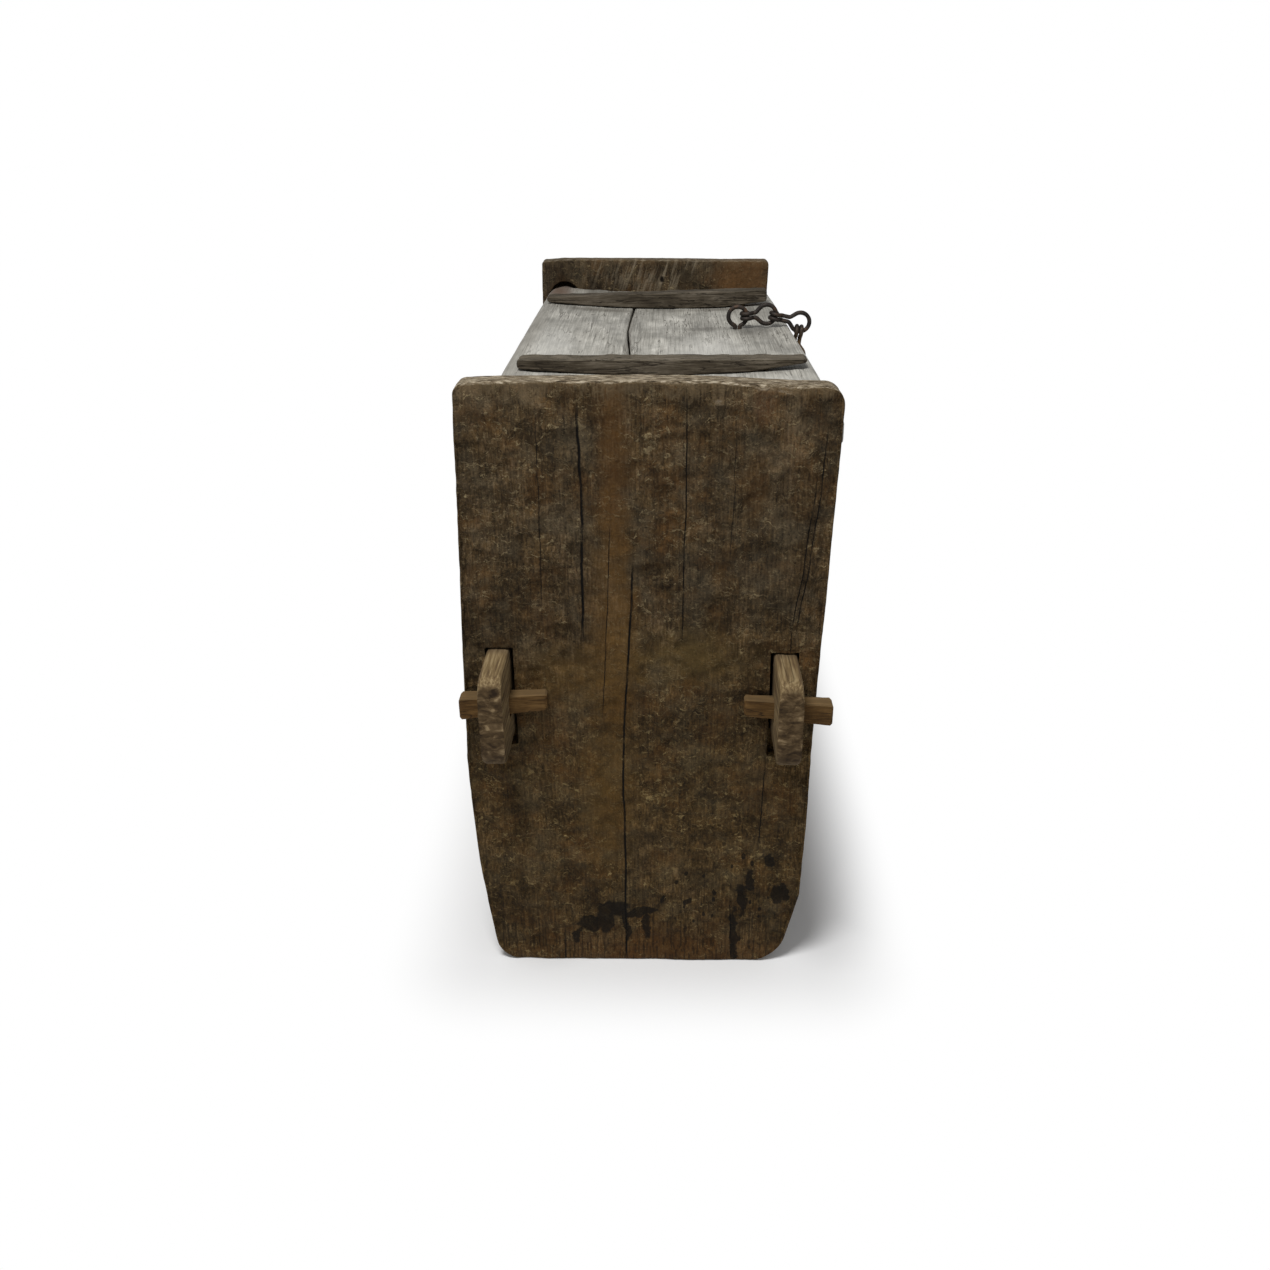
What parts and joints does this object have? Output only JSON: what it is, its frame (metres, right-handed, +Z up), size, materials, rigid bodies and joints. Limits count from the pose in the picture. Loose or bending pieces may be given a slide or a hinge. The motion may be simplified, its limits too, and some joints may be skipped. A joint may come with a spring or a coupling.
{
  "type": "wedged plank storage chest",
  "caption": "Wooden storage chest with tall end slabs, side boards wedged through them, a dished plank lid on wooden pintles and a forged chain hasp.",
  "frame": {"origin": "centre of the chest's footprint, on the floor", "axes": "+X towards the side that opens, with the lid's hinge at -X; +Y along the chest, the wedged end with the lid's broad end at -Y; +Z up"},
  "size_m": [0.5707, 1.437, 0.9118],
  "materials": {
    "slab_wood": "hewn, darkened with age",
    "board_wood": "hewn, weathered",
    "floor_wood": "hewn, dry",
    "lid_wood": "worn, silver grey",
    "batten_wood": "hewn, weathered",
    "wedge_wood": "split, dry",
    "peg_wood": "whittled",
    "iron": "forged, dark"
  },
  "bodies": {
    "chest": {"end_slab_near": "slab_wood", "end_slab_far": "slab_wood", "back_board_lower": "board_wood", "back_board_middle": "board_wood", "back_board_upper": "board_wood", "front_board_lower": "board_wood", "front_board_middle": "board_wood", "front_board_upper": "board_wood", "floor_board_back": "floor_wood", "floor_board_front": "floor_wood", "front_staple": "iron"},
    "lid": {"lid_rear_plank": "lid_wood", "lid_front_plank": "lid_wood", "lid_batten_near": "batten_wood", "lid_batten_far": "batten_wood", "batten_pegs": "peg_wood", "lid_staple": "iron"},
    "chain_link_1": {"chain_link_1": "iron"},
    "chain_link_2": {"chain_link_2": "iron"},
    "chain_link_3": {"chain_link_3": "iron"},
    "chain_link_4": {"chain_link_4": "iron"},
    "wedge_near_back": {"wedge_near_back": "wedge_wood"},
    "wedge_near_front": {"wedge_near_front": "wedge_wood"},
    "wedge_far_back": {"wedge_far_back": "wedge_wood"},
    "wedge_far_front": {"wedge_far_front": "wedge_wood"}
  },
  "joints": [
    {"name": "lid_hinge", "type": "hinge", "parent": "chest", "child": "lid", "pos_m": [-0.2, 0, 0.822], "axis": [0, -1, 0], "range_deg": [0, 100]},
    {"name": "chain_link_1_swing", "type": "hinge", "parent": "lid", "child": "chain_link_1", "pos_m": [0.156, 0.1135, 0.8655], "axis": [0, -1, 0], "range_deg": [0, 160]},
    {"name": "chain_link_2_swing", "type": "hinge", "parent": "chain_link_1", "child": "chain_link_2", "pos_m": [0.20889, 0.1135, 0.86892], "axis": [0, 1, 0], "range_deg": [-115, 0]},
    {"name": "chain_link_3_swing", "type": "hinge", "parent": "chain_link_2", "child": "chain_link_3", "pos_m": [0.27071, 0.1135, 0.85442], "axis": [0, -1, 0], "range_deg": [-4, 130]},
    {"name": "chain_link_4_swing", "type": "hinge", "parent": "chain_link_3", "child": "chain_link_4", "pos_m": [0.26328, 0.1135, 0.79387], "axis": [0, 1, 0], "range_deg": [-95, 24]},
    {"name": "wedge_near_back_slide", "type": "slide", "parent": "chest", "child": "wedge_near_back", "axis": [-1, 0, 0], "range_m": [0, 0.09]},
    {"name": "wedge_near_front_slide", "type": "slide", "parent": "chest", "child": "wedge_near_front", "axis": [1, 0, 0], "range_m": [0, 0.09]},
    {"name": "wedge_far_back_slide", "type": "slide", "parent": "chest", "child": "wedge_far_back", "axis": [-1, 0, 0], "range_m": [0, 0.09]},
    {"name": "wedge_far_front_slide", "type": "slide", "parent": "chest", "child": "wedge_far_front", "axis": [1, 0, 0], "range_m": [0, 0.09]}
  ]
}
